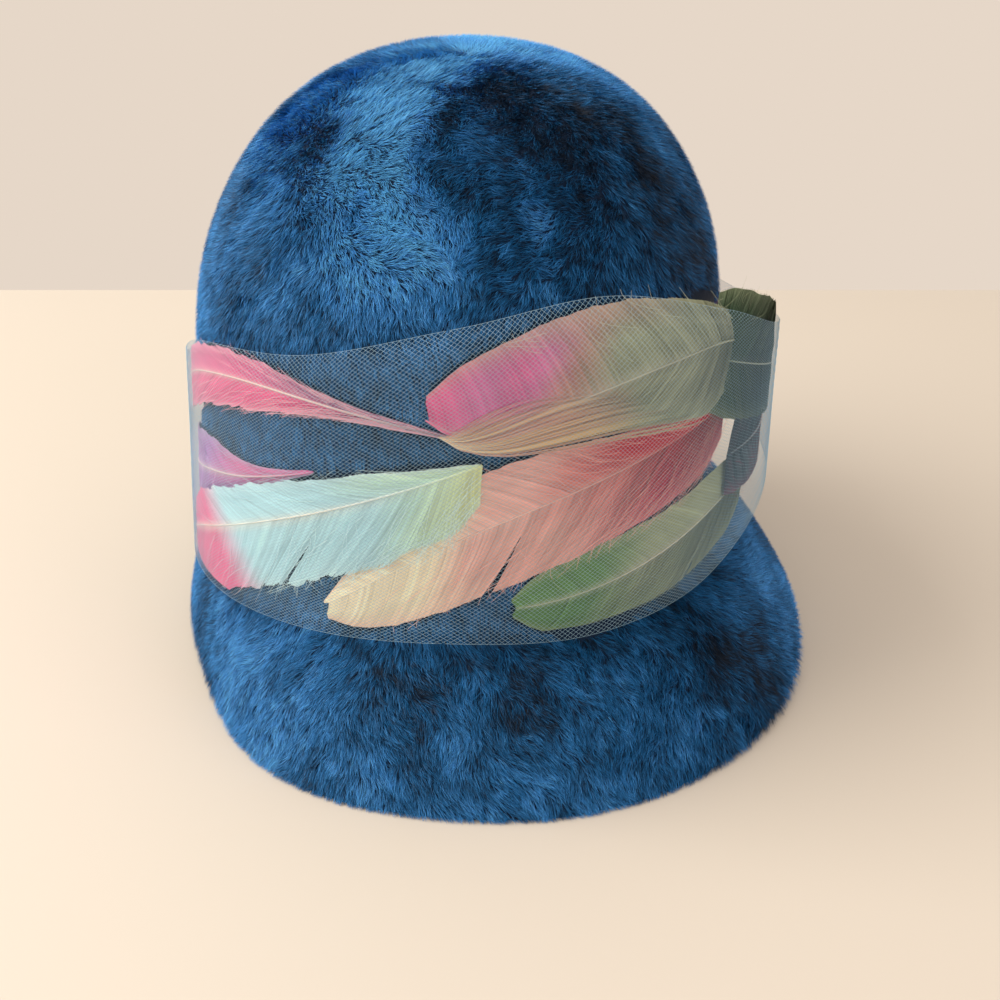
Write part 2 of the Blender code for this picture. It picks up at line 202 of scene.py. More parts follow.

# How each feather is dressed. Its shaft runs between two places across the vane, from -1 at
# its lower edge to 1 at its upper one, and is dyed from its quill to its tip. Its rim is the
# dye of its edges, its fray how ragged they are, its fold how deep its silky folds are and how
# strongly painted shade and light streak along them, and its down how many loose fibres it has.
# Its pale is how far its shaft and what lies beside it are lighter. A slit has its edge, place,
# depth and width.
DRESSING = {
    "feather_pink": {"slot": "feather_rose", "shaft": (0.0, 0.15), "rim": PALE_ROSE,
                     "dyes": (DUSTY, DUSTY, ROSE, ROSE, ROSE, PALE_ROSE),
                     "fray": 0.22, "fold_and_painted_shade": 0.5, "down": 160, "pale": 0.45, "slits": ()},
    "feather_orchid": {"slot": "feather_lilac", "shaft": (0.0, 0.3), "rim": PALE_LILAC,
                       "dyes": (ORCHID, ORCHID, LILAC, LILAC, PALE_LILAC),
                       "fray": 0.15, "fold_and_painted_shade": 0.6, "down": 60, "pale": 0.40, "slits": ()},
    "feather_mint": {"slot": "feather_aqua", "shaft": (0.0, 0.1), "rim": PALE_AQUA,
                     "dyes": (LIME, PALE_LIME, AQUA, AQUA, AQUA, AQUA, PALE_AQUA, PALE_AQUA),
                     "fray": 0.17, "fold_and_painted_shade": 0.35, "down": 120,
                     "pale": 0.55, "slits": ((-1, 0.50, 0.70, 0.010),)},
    "feather_sage": {"slot": "feather_sage", "shaft": (0.45, -0.95), "rim": PALE_SAGE,
                     "dyes": (SAGE, SAGE, SAGE, SAGE, MAUVE, ORCHID, ROSE, ROSE),
                     "fray": 0.05, "fold_and_painted_shade": 0.7, "down": 40, "pale": 0.15, "slits": ()},
    "feather_coral": {"slot": "feather_coral", "shaft": (0.0, 0.0), "rim": PALE_SALMON,
                      "dyes": (CORAL, CORAL, CORAL, SALMON, PALE_SALMON, PALE_SALMON,
                               CREAM, CREAM, CREAM),
                      "fray": 0.06, "fold_and_painted_shade": 0.35, "down": 200,
                      "pale": 0.12, "slits": ((-1, 0.66, 0.80, 0.012),)},
    "feather_green": {"slot": "feather_green", "shaft": (0.2, 0.0), "rim": MOSS,
                      "dyes": (MOSS, MOSS, MOSS, LEAF, LEAF),
                      "fray": 0.06, "fold_and_painted_shade": 0.5, "down": 60,
                      "pale": 0.25, "slits": ((-1, 0.35, 0.6, 0.008),)},
    "feather_pine": {"slot": "feather_pine", "shaft": (0.0, 0.0), "rim": MOSS,
                     "dyes": (PINE, PINE, PINE, DEEP_PINE),
                     "fray": 0.06, "fold_and_painted_shade": 0.5, "down": 40, "pale": 0.10, "slits": ()},
    "feather_plum": {"slot": "feather_plum", "shaft": (0.0, 0.0), "rim": PLUM,
                     "dyes": (SLATE, SLATE, PLUM, PLUM, PLUM),
                     "fray": 0.10, "fold_and_painted_shade": 0.4, "down": 40, "pale": 0.10, "slits": ()},
    "feather_back_rose": {"slot": "feather_rose", "shaft": (0.0, 0.1), "rim": PALE_ROSE,
                          "dyes": (DUSTY, ROSE, ROSE, PALE_ROSE),
                          "fray": 0.15, "fold_and_painted_shade": 0.5, "down": 80, "pale": 0.40, "slits": ()},
    "feather_back_lilac": {"slot": "feather_lilac", "shaft": (0.0, 0.1), "rim": PALE_LILAC,
                           "dyes": (ORCHID, LILAC, PALE_LILAC),
                           "fray": 0.15, "fold_and_painted_shade": 0.5, "down": 60, "pale": 0.40, "slits": ()},
    "feather_back_aqua": {"slot": "feather_aqua", "shaft": (0.0, 0.0), "rim": PALE_AQUA,
                          "dyes": (LIME, AQUA, AQUA, PALE_AQUA),
                          "fray": 0.15, "fold_and_painted_shade": 0.4, "down": 80,
                          "pale": 0.50, "slits": ((-1, 0.60, 0.60, 0.010),)},
    "feather_back_sage": {"slot": "feather_sage", "shaft": (0.0, 0.0), "rim": PALE_SAGE,
                          "dyes": (STRAW, SAGE, SAGE, MAUVE, ORCHID),
                          "fray": 0.06, "fold_and_painted_shade": 0.6, "down": 60, "pale": 0.20, "slits": ()},
    "feather_back_coral": {"slot": "feather_coral", "shaft": (0.0, 0.0), "rim": PEACH,
                           "dyes": (CORAL, SALMON, PEACH, CREAM),
                           "fray": 0.06, "fold_and_painted_shade": 0.4, "down": 60, "pale": 0.15, "slits": ()},
    "feather_back_green": {"slot": "feather_green", "shaft": (0.0, 0.0), "rim": MOSS,
                           "dyes": (MOSS, LEAF, LEAF),
                           "fray": 0.06, "fold_and_painted_shade": 0.5, "down": 60, "pale": 0.25, "slits": ()},
}

# The feathers' fibres
BARB_PITCH = 0.00032
BARB_WIDTH = 0.00060
BARB_SWEEP = 0.20
BARB_STEPS = 6
BARBS_END = 0.99  # how near the tip the last barb grows
WEB_ROWS = 90
WEB_DEPTH = 0.00012  # how far the web lies under the barbs
FOLD_HEIGHT = 0.00035
VANE_HUMP = 0.00012  # how much higher the vane's middle is than its edges
SHAFT_RADIUS = 0.00042
SHAFT_SIDES = 6
SHAFT_PROUD = 0.00014
DOWN_WIDTH = 0.00018
DOWN_STEPS = 6
GATHERED_BARBS = 130
GATHERED_STEPS = 14
GATHERED_PROUD = 0.00036
GATHER_ALONG = 0.965  # where on the sage feather the long pale barbs are caught together
GATHER_SIDE = -1.28

# The nap
NAP_HAIRS = 760000
NAP_PIECES = 4
NAP_LENGTH = 0.0040
NAP_WIDTH = 0.00026
NAP_LIFT = 0.0020
NAP_DEPTH = 0.0002  # how deep in the felt a hair starts
NAP_AREA = 0.12  # the hood's outside in square metres, shared out among the tufts
TUFT_SIZE = 0.0021
SHORTEST_HAIR = 0.0012
TABLE_GAP = 0.0003  # how far over the table the lowest tips end
LOWEST_COVERED = -0.02  # the rise down to which feathers keep the nap off the felt
# The nap's lightness is painted sheen and painted shade in its colour, from navy shade through
# teal to azure sheen.
MID_LIGHT = 0.45  # the lightness at which the nap is plain teal blue
# Each hair's root is painted darker as shade among the hairs, and its tip lighter as a painted
# highlight.
ROOT_SHADE = 0.52
TIP_PAINTED_HIGHLIGHT = 1.60

# Where the nap lies so that it shows light or dark. That light and dark is painted sheen and
# painted shade in the nap's colour. Columns: bearings in degrees, heights above the table in
# shares of the hat's height, sizes in metres, how much lighter the patch is painted, and how far
# in degrees the nap there is brushed aside.
NAP_PATCHES = (
    {"bearing": -41, "height": 0.95, "size": 0.018, "light": 0.95, "turn": 80},
    {"bearing": -22, "height": 0.93, "size": 0.015, "light": 0.60, "turn": 60},
    {"bearing": -78, "height": 0.93, "size": 0.014, "light": 0.60, "turn": 60},
    {"bearing": -47, "height": 0.925, "size": 0.007, "light": -0.90, "turn": 0},
    {"bearing": 161, "height": 1.00, "size": 0.028, "light": 0.55, "turn": 0},
    {"bearing": 94, "height": 0.99, "size": 0.018, "light": 0.35, "turn": 0},
    {"bearing": 8, "height": 0.93, "size": 0.018, "light": -0.08, "turn": -30},
    {"bearing": 28, "height": 0.88, "size": 0.020, "light": -0.20, "turn": -50},
    {"bearing": 48, "height": 0.84, "size": 0.028, "light": -0.20, "turn": -30},
    {"bearing": 72, "height": 0.76, "size": 0.028, "light": -0.20, "turn": 0},
    {"bearing": -24, "height": 0.83, "size": 0.017, "light": 0.34, "turn": 50},
    {"bearing": -8, "height": 0.81, "size": 0.016, "light": 0.46, "turn": 60},
    {"bearing": 21, "height": 0.85, "size": 0.005, "light": 0.55, "turn": 0},
    {"bearing": -25, "height": 0.87, "size": 0.004, "light": -0.80, "turn": 0},
    {"bearing": -5, "height": 0.965, "size": 0.005, "light": -0.60, "turn": 0},
    {"bearing": -46, "height": 0.08, "size": 0.022, "light": 0.52, "turn": 0},
    {"bearing": -31, "height": 0.06, "size": 0.014, "light": 0.40, "turn": 0},
    {"bearing": -14, "height": 0.04, "size": 0.012, "light": 0.34, "turn": 0},
    {"bearing": 1, "height": 0.11, "size": 0.006, "light": 0.34, "turn": 0},
    {"bearing": 13, "height": 0.04, "size": 0.006, "light": 0.34, "turn": 0},
    {"bearing": -7, "height": 0.18, "size": 0.018, "light": -0.22, "turn": 20},
    {"bearing": 16, "height": 0.16, "size": 0.022, "light": -0.22, "turn": 0},
    {"bearing": 28, "height": 0.06, "size": 0.012, "light": -0.12, "turn": 0},
    {"bearing": 55, "height": 0.12, "size": 0.022, "light": -0.22, "turn": 0},
)

# The net
NET_CELL = 0.0019
NET_THREAD = 0.00010
NET_STEPS = 20
NET_REACH = 0.148  # how far round the hat a thread runs from the lower edge to the upper one
NET_CROSSING = 0.00007  # how far off the net's middle each set of threads lies
EDGE_STEPS = 260

# The table, the room and the camera
TABLE_PAINT = (214, 208, 197)
TABLE_SIZE = (4.0, 2.0, 1.0)
TABLE_EDGE = 0.31  # how far behind the hat the table ends
ROOM_LIGHT = (230, 215, 200)
LAMPS = (
    {"name": "key", "place": (-0.80, -0.10, 0.90), "power": 13.0, "color": (255, 247, 238)},
    {"name": "fill", "place": (0.9, -0.7, 0.7), "power": 2.5, "color": (248, 240, 255)},
)
LAMP_SIZE = 0.8
LAMP_AIM = (0, 0, 0.08)
CAMERA_LENS = 54.0
CAMERA_SENSOR = 36.0
CAMERA_AIM = (0.0035, 0.0, 0.042)
CAMERA_TILT = 30
CAMERA_AWAY = 0.558


def linear(dye):
    """A dye's 0 to 255 look as linear light."""
    share = np.asarray(dye, float) / 255
    return np.where(share < 0.04045, share / 12.92, ((share + 0.055) / 1.055) ** 2.4)


def spline(before, here, after, beyond, share):
    return 0.5 * (
        2 * here
        + (after - before) * share
        + (2 * before - 5 * here + 4 * after - beyond) * share**2
        + (3 * here - before - 3 * after + beyond) * share**3
    )


def wave(rows, column, bearing):
    """A column of a table of bearings, read smoothly at bearings in degrees."""
    values = np.array([row[column] for row in rows])
    place = np.mod(bearing, 360) / (360 / len(rows))
    index = np.floor(place).astype(int)
    picks = [values[(index + step) % len(rows)] for step in (-1, 0, 1, 2)]
    return spline(*picks, place - index)


def curve_of(rows, key, column):
    """Two columns of an open table as a fine curve, for np.interp."""
    place = np.linspace(0, 1, 2001) * (len(rows) - 1)
    index = np.minimum(place.astype(int), len(rows) - 2)
    curves = []
    for name in (key, column):
        values = np.array([row[name] for row in rows])
        picks = [values[np.clip(index + step, 0, len(rows) - 1)] for step in (-1, 0, 1, 2)]
        curves.append(spline(*picks, place - index))
    return np.maximum.accumulate(curves[0]), np.maximum(curves[1], 0)


CROWN_CURVE = curve_of(CROWN_PROFILE, "rise", "spread")
VANE_CURVES = {
    outline: curve_of(VANE_OUTLINE, "along", outline)
    for outline in VANE_OUTLINE[0] if outline != "along"
}

HOOD_TOP = max((vertex.co for vertex in NODES["felt_hood"].data.vertices), key=lambda co: co.z)
AXIS_FOOT = np.array(HOOD_TOP) - (CROWN_LEAN, 0, CROWN_TOP)


def unit(vectors):
    return vectors / np.maximum(np.linalg.norm(vectors, axis=-1, keepdims=True), 1e-12)


def on_crown(bearing, rise):
    """The crown's surface at bearings and at shares of the height from foot to top."""
    angle = np.radians(bearing)
    half = CROWN_HALF_WIDTH * np.interp(rise, *CROWN_CURVE)
    length = np.where(np.cos(angle) > 0, CROWN_FRONT_LENGTH, CROWN_BACK_LENGTH)
    foot = BRIM_DROP * wave(FOOT_WAVE, "foot", bearing)
    across = half * np.sin(angle) + CROWN_LEAN * rise
    back = -half * np.cos(angle) * length / CROWN_HALF_WIDTH
    return np.stack([across, back, foot + (CROWN_TOP - foot) * rise], -1) + AXIS_FOOT


def off_crown(bearing, rise, proud):
    """Points that stand proud of the crown's surface."""
    around = on_crown(bearing + 1, rise) - on_crown(bearing - 1, rise)
    upward = on_crown(bearing, rise + 0.01) - on_crown(bearing, rise - 0.01)
    return on_crown(bearing, rise) + unit(np.cross(around, upward)) * proud[..., None]


def off_band(bearing, rise, layer):
    """Points a layer's height off the band, which stands out from the crown."""
    return off_crown(bearing, rise, STAND_OUT * wave(BAND_WAVE, "stand", bearing) + layer)


def wander(points, size, seed, count=7):
    """A smooth wandering value of about -1 to 1, whose patches are about size across."""
    dice = np.random.default_rng(seed)
    lines = unit(dice.normal(size=(count, 3))) * math.pi / size
    lines *= dice.uniform(0.6, 1.3, (count, 1))
    shifts = dice.uniform(0, 2 * math.pi, count)
    return np.sin(points @ lines.T + shifts).sum(-1) / math.sqrt(count)


def socket(shader, name, value):
    shader.inputs[name].default_value = value


def finish_of(name, roughness, sheen, bump_scale, bump, mottle, dye=None):
    """A dyed fibre: its colour from the piece's own dye attribute, which on the nap and the
    feathers holds painted sheen and shade too, mottled and bumped on a fine scale.
    """
    material = bpy.data.materials.new(name)
    material.use_nodes = True
    nodes, links = material.node_tree.nodes, material.node_tree.links
    shader = nodes["Principled BSDF"]
    socket(shader, "Roughness", roughness)
    socket(shader, "Sheen Weight", sheen)
    socket(shader, "Sheen Roughness", 0.4)
    socket(shader, "Specular IOR Level", 0.25)
    place = nodes.new("ShaderNodeTexCoord")
    grain = nodes.new("ShaderNodeTexNoise")
    socket(grain, "Scale", bump_scale)
    socket(grain, "Detail", 3.0)
    links.new(place.outputs["Object"], grain.inputs["Vector"])
    relief = nodes.new("ShaderNodeBump")
    socket(relief, "Strength", bump)
    socket(relief, "Distance", 0.0003)
    links.new(grain.outputs["Fac"], relief.inputs["Height"])
    links.new(relief.outputs["Normal"], shader.inputs["Normal"])
    patches = nodes.new("ShaderNodeTexNoise")
    socket(patches, "Scale", 90.0)
    socket(patches, "Detail", 4.0)
    links.new(place.outputs["Object"], patches.inputs["Vector"])
    shade = nodes.new("ShaderNodeMapRange")
    socket(shade, "To Min", 1 - mottle)
    socket(shade, "To Max", 1 + mottle)
    links.new(patches.outputs["Fac"], shade.inputs["Value"])
    mix = nodes.new("ShaderNodeVectorMath")
    mix.operation = "SCALE"
    if dye is None:
        paint = nodes.new("ShaderNodeAttribute")
        paint.attribute_name = "dye"
        links.new(paint.outputs["Color"], mix.inputs[0])
    else:
        mix.inputs[0].default_value = tuple(linear(dye))
    links.new(shade.outputs["Result"], mix.inputs["Scale"])
    links.new(mix.outputs["Vector"], shader.inputs["Base Color"])
    return material


def piece_of(name, points, faces, dyes, material):
    """A new piece from its points, its faces of equal corner counts per block, and its dyes, any
    painted sheen and shade in them included.
    """
    mesh = bpy.data.meshes.new(name)
    corners = np.concatenate([block.ravel() for block in faces])
    counts = np.concatenate([np.full(len(block), block.shape[1]) for block in faces])
    starts = np.concatenate([[0], np.cumsum(counts)[:-1]])
    mesh.vertices.add(len(points))
    mesh.vertices.foreach_set("co", points.astype(np.float32).ravel())
    mesh.loops.add(len(corners))
    mesh.loops.foreach_set("vertex_index", corners.astype(np.int32))
    mesh.polygons.add(len(starts))
    mesh.polygons.foreach_set("loop_start", starts.astype(np.int32))
    mesh.update(calc_edges=True)
    if dyes is not None:
        # Each point's colour, painted sheen and shade included.
        paint = mesh.color_attributes.new("dye", "FLOAT_COLOR", "POINT")
        rgba = np.concatenate([dyes, np.ones((len(dyes), 1))], 1)
        paint.data.foreach_set("color", rgba.astype(np.float32).ravel())
    mesh.shade_smooth()
    mesh.materials.append(material)
    piece = bpy.data.objects.new(name, mesh)
    bpy.context.scene.collection.objects.link(piece)
    return piece


def strips(path, side):
    """Points and faces of flat fibres: path is fibres by steps by 3, side half their width."""
    fibres, steps = path.shape[:2]
    points = np.stack([path - side, path + side], 2).reshape(-1, 3)
    first = (np.arange(fibres) * steps * 2)[:, None, None]
    row = (np.arange(steps - 1) * 2)[None, :, None]
    return points, (first + row + np.array([0, 1, 3, 2])).reshape(-1, 4)


def tube(path, radius, sides):
    """Points and faces of closed round threads along paths of threads by steps by 3."""
    threads, steps = path.shape[:2]
    ahead = unit(np.gradient(path, axis=1))
    aside = unit(np.cross(ahead, np.array([0.13, 0.17, 1.0])))
    up = np.cross(ahead, aside)
    turn = np.arange(sides) * 2 * math.pi / sides
    radius = np.broadcast_to(radius, (threads, steps))[..., None, None]
    ring = aside[:, :, None] * np.cos(turn)[:, None] + up[:, :, None] * np.sin(turn)[:, None]
    points = (path[:, :, None] + ring * radius).reshape(-1, 3)
    first = (np.arange(threads) * steps * sides)[:, None, None]
    row = (np.arange(steps - 1) * sides)[None, :, None]
    here = np.arange(sides)
    after = (here + 1) % sides
    wall = np.stack([here, after, after + sides, here + sides], 1)
    quads = (first[..., None] + row[..., None] + wall).reshape(-1, 4)
    start = (first[:, 0] + here[::-1]).reshape(-1, sides)
    end = (first[:, 0] + (steps - 1) * sides + here).reshape(-1, sides)
    return points, quads, np.concatenate([start, end])


def placed(row):
    """A feather's quill, shaft and the way across it, in metres on the unrolled band."""
    metres = np.array([math.radians(BAND_RADIUS), CROWN_TOP - BRIM_DROP])
    quill = np.array(row["quill"]) * metres
    shaft = np.array(row["tip"]) * metres - quill
    across = np.array([-shaft[1], shaft[0]]) / np.linalg.norm(shaft)
    if across[1] < 0:
        across = -across
    return metres, quill, shaft, across


def on_vane(row, along, side, proud):
    """Points of a feather's vane; along runs from its quill to its tip, side across it."""
    metres, quill, shaft, across = placed(row)
    upper = row["above"][0] * np.interp(along, *VANE_CURVES[row["above"][1]])
    lower = row["below"][0] * np.interp(along, *VANE_CURVES[row["below"][1]])
    width = np.where(side > 0, upper, lower)
    offset = VANE_WIDTH * (row["bow"] * np.sin(math.pi * along) + width * side)
    place = quill + shaft * along[..., None] + across * offset[..., None]
    rise = np.maximum(place[..., 1] / metres[1], LOWEST_RISE)
    layer = LAYER_PITCH * (row["layer"] + row["lift"] * along)
    return off_band(place[..., 0] / metres[0], rise, layer + FEATHER_THICKNESS / 2 + proud)


def folds(look, along, side):
    """How far the vane's soft folds stand up, in metres."""
    cross = side * 7 + 2.2 * along
    soft = np.sin(cross * 1.7 + 3 * along) * 0.5 + np.sin(cross * 3.9 + 9 * along) * 0.25
    return look["fold_and_painted_shade"] * soft * FOLD_HEIGHT + VANE_HUMP * (1 - side**2)


def beside(look, along):
    """Where the shaft runs across the vane."""
    start, end = look["shaft"]
    return start + (end - start) * along


def blended(stops, place):
    """Colours at places from 0 to 1 along a row of dyes."""
    stops = np.array([linear(dye) for dye in stops])
    place = np.clip(place, 0, 1) * (len(stops) - 1)
    index = np.minimum(place.astype(int), len(stops) - 2)
    share = (place - index)[..., None]
    return stops[index] * (1 - share) + stops[index + 1] * share


def over(color, dye, share):
    """A colour with a share of another dye over it."""
    share = np.clip(share, 0, 1)[..., None]
    return color * (1 - share) + linear(dye) * share


def dye_at(row, along, side, dice):
    """The vane's colour, barb by barb a little different, with painted shade and light in streaks
    along its folds.
    """
    look = DRESSING[row["name"]]
    drift = 0.05 * np.sin(side * 3 + along * 9) + dice.normal(0, 0.012, (len(along), 1))
    color = blended(look["dyes"], along + drift)
    color = over(color, look["rim"], np.clip(np.abs(side) - 0.70, 0, 0.30) * 1.9)
    if row["name"] == "feather_sage":
        color = over(color, SAGE, (side - 0.1) * 1.4 * np.clip(0.75 - along, 0, 0.6) * 2)
        color = over(color, ORCHID, np.clip(along - 0.72, 0, 0.1) * 10 * (side < 0.85))
        color = over(color, ROSE, np.clip(along - 0.86, 0, 0.1) * 7)
        upper_edge = np.clip(side - 0.55, 0, 0.3) * 2.2
        color = over(color, MAUVE, upper_edge * np.clip(along - 0.2, 0, 0.3) * 3)
    if row["name"] == "feather_pink":
        color = over(color, DUSTY, np.clip(side + 0.1, 0, 0.5) * np.clip(1.1 - along, 0, 1))
    if row["name"] == "feather_mint":
        color = over(color, ROSE, (along - 0.62 - 0.07 * side) * 9)
    if row["name"] == "feather_coral":
        color = over(color, ROSE, np.clip(0.5 - along, 0, 0.3) * 1.4 * np.clip(-side, 0, 1))
    near = np.exp(-((side - beside(look, along)) / 0.10) ** 2)
    color = over(color, IVORY, look["pale"] * near * np.clip(along / 0.4, 0, 1))
    # Painted shade and painted light in streaks along the vane's folds, over the barbs' random
    # tone.
    crease = np.sin(side * 10 + 4 * along + 2) + np.sin(side * 23 - 7 * along)
    clump = np.repeat(dice.normal(0, 0.06, len(along) // 7 + 1), 7)[: len(along), None]
    tone_and_fold_shade = dice.normal(1.0, 0.06, (len(along), 1)) + clump + 0.08 * look["fold_and_painted_shade"] * crease
    return color * tone_and_fold_shade[..., None]


def vane_lines(row, edge, root, step, rough):
    """Where barbs run across one side of a vane, from their roots on the shaft to its edge."""
    look = DRESSING[row["name"]]
    sweep = BARB_SWEEP * np.minimum(1, 0.15 + root / 0.2) * np.sqrt(1 - root)
    start = beside(look, root)
    scallop = 0.5 + 0.3 * np.sin(root * 41 + edge) + 0.2 * np.sin(root * 97)
    reach = 1 - look["fray"] * (0.5 * scallop + 0.5 * rough)
    along = root + sweep * step**1.15
    side = start + (edge * reach - start) * step
    cuts = np.zeros(along.shape, int)
    for slit_edge, place, depth, gap in look["slits"]:
        if slit_edge == edge:
            end = root + sweep
            opened = np.clip((step - (1 - depth)) / depth, 0, 1)
            near = np.exp(-np.abs(end - place) / 0.05)
            along = along + np.where(end > place, 1, -1) * opened * gap * near
            cuts = cuts + (end > place)
    return np.clip(along, 0, 1), side, cuts


def web(row, dice):
    """The closed web that the barbs make together, one side of the vane after the other."""
    look = DRESSING[row["name"]]
    step = np.linspace(0, 1, BARB_STEPS + 1)[None, :]
    root = np.linspace(0, BARBS_END, WEB_ROWS)[:, None]
    blocks = []
    for edge in (1.0, -1.0):
        along, side, cuts = vane_lines(row, edge, root, step, 0.75)
        path = on_vane(row, along, side, folds(look, along, side) - WEB_DEPTH)
        first = np.arange(WEB_ROWS - 1)[:, None] * (BARB_STEPS + 1) + np.arange(BARB_STEPS)
        corner = np.array([0, 1, BARB_STEPS + 2, BARB_STEPS + 1])
        closed = cuts[1:, :-1] == cuts[:-1, :-1]
        closed = closed | (step[:, :-1] < 1 - max([slit[2] for slit in look["slits"]] + [0]))
        faces = (first[..., None] + corner)[closed]
        if edge < 0:
            faces = faces[:, ::-1]
        blocks.append((path.reshape(-1, 3), faces, dye_at(row, along, side, dice).reshape(-1, 3)))
    return blocks


def barbs(row, dice):
    """Both vanes of a feather, barb beside barb, swept towards its tip."""
    look = DRESSING[row["name"]]
    count = int(np.linalg.norm(placed(row)[2]) / BARB_PITCH)
    step = np.linspace(0, 1, BARB_STEPS + 1)[None, :]
    blocks = []
    for edge in (1.0, -1.0):
        root = np.linspace(0.0, 0.985, count) + dice.normal(0, 0.2 / count, count)
        root = np.clip(root, 0, BARBS_END)[:, None]
        tuft = np.repeat(dice.uniform(0, 1, count // 10 + 1), 10)[:count, None]
        rough = 0.65 * tuft**2 + 0.35 * dice.uniform(0, 1, (count, 1))
        along, side, _ = vane_lines(row, edge, root, step, rough)
        proud = folds(look, along, side) + dice.normal(0, 0.00003, (count, 1))
        path = on_vane(row, along, side, proud)
        out = unit(on_vane(row, along, side, proud + MM) - path)
        ahead = unit(np.gradient(path, axis=1))
        roll = 0.18 + dice.normal(0, 0.12, (count, 1, 1))
        flat = unit(np.cross(out, ahead)) * edge
        width = BARB_WIDTH / 2 * (1 - 0.45 * step[..., None] ** 2)
        aside = (flat * np.cos(roll) + out * np.sin(roll)) * width
        blocks.append((path, aside, dye_at(row, along, side, dice)))
    return blocks


def down(row, dice):
    """Loose fibres near the quill and along the edges."""
    look = DRESSING[row["name"]]
    count = look["down"]
    step = np.linspace(0, 1, DOWN_STEPS + 1)[None, :]
    root = dice.beta(1.0, 2.2, (count, 1)) * 0.9
    edge = np.where(dice.uniform(size=(count, 1)) < 0.30, 1.0, -1.0)
    begin = edge * dice.uniform(0.1, 0.9, (count, 1))
    end = edge * dice.uniform(0.90, 1.16, (count, 1))
    bend = dice.uniform(-0.03, 0.05, (count, 1))
    along = root + dice.uniform(0.03, 0.16, (count, 1)) * step + bend * np.sin(math.pi * step)
    side = begin + (end - begin) * step**1.3
    along = np.clip(along, 0.0, 1.0)
    proud = 0.00035 + 0.00025 * np.sin(math.pi * step) * dice.uniform(0.3, 1, (count, 1))
    path = on_vane(row, along, side, proud)
    out = unit(on_vane(row, along, side, proud + MM) - path)
    ahead = unit(np.gradient(path, axis=1))
    aside = unit(np.cross(out, ahead)) * (DOWN_WIDTH / 2) * (1 - 0.5 * step[..., None])
    color = dye_at(row, along, side, dice) * 0.4 + linear(look["rim"]) * 0.7
    return path, aside, color


def gathered_barbs(row, dice):
    """Long pale barbs, folded together where the quill is caught, fanning over the vane."""
    count = GATHERED_BARBS
    step = np.linspace(0, 1, GATHERED_STEPS + 1)[None, :]
    fan = np.sort(dice.uniform(0, 1, count))[:, None]
    end_along = 0.66 - 0.50 * fan + dice.normal(0, 0.04, (count, 1))
    end_side = -0.20 - 0.78 * fan + dice.normal(0, 0.05, (count, 1))
    opening = 1 - (1 - step) ** (1.25 + 1.3 * (1 - fan))
    along = GATHER_ALONG + (end_along - GATHER_ALONG) * step
    side = GATHER_SIDE + (end_side - GATHER_SIDE) * opening
    crease = np.sin(fan * 34) * 0.00020 * np.sin(math.pi * step) ** 0.5
    proud = GATHERED_PROUD + crease + dice.uniform(0, 0.00010, (count, 1))
    path = on_vane(row, along, side, proud)
    out = unit(on_vane(row, along, side, proud + MM) - path)
    ahead = unit(np.gradient(path, axis=1))
    step_column = step[..., None]
    swell = np.sin(math.pi * (0.12 + 0.8 * step_column))
    width = (0.00012 + 0.00016 * step_column) * swell
    roll = 0.5 * np.sin(fan * 34 + 1.5)[..., None]
    aside = (unit(np.cross(out, ahead)) * np.cos(roll) + out * np.sin(roll)) * width
    straw = blended((CREAM, STRAW, STRAW, SAGE), np.repeat(step, count, 0))
    straw = over(straw, MAUVE, 0.7 * np.sin(fan * 21) * np.ones_like(step))
    share = 1 - 0.8 * step_column
    color = dye_at(row, along, np.maximum(side, -0.6), dice) * (1 - share) + straw * share
    return path, aside, color


def feather(row, seed, material):
    """One feather over its solid: web, barbs, down and shaft in one piece."""
    look = DRESSING[row["name"]]
    dice = np.random.default_rng(seed)
    blocks = web(row, dice)
    fibres = barbs(row, dice) + [down(row, dice)]
    if row["name"] == "feather_sage":
        fibres.append(gathered_barbs(row, dice))
    for path, aside, color in fibres:
        points, faces = strips(path, aside)
        blocks.append((points, faces, np.repeat(color, 2, axis=1).reshape(-1, 3)))
    along = np.linspace(0.0, 0.96, 36)[None]
    across = beside(look, along)
    path = on_vane(row, along, across, folds(look, along, across) + SHAFT_PROUD)
    points, quads, caps = tube(path, SHAFT_RADIUS * (1 - 0.78 * along), SHAFT_SIDES)
    pale = (0.1 + look["pale"]) * np.clip(along / 0.4, 0, 1)
    tint = over(dye_at(row, along, across, dice) * 1.1, IVORY, pale)
    blocks.append((points, quads, np.repeat(tint, SHAFT_SIDES, axis=1).reshape(-1, 3)))
    starts = np.cumsum([0] + [len(block[0]) for block in blocks])
    faces = [block[1] + start for block, start in zip(blocks, starts)]
    faces = [np.concatenate(faces), caps + starts[-2]]
    name = row["name"].replace("feather_", "plume_")
    points = np.concatenate([block[0] for block in blocks])
    dyes = np.clip(np.concatenate([block[2] for block in blocks]), 0, 1)
    piece = piece_of(name, points, faces, dyes, material)
    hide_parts(row["name"])
    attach(piece, "root")


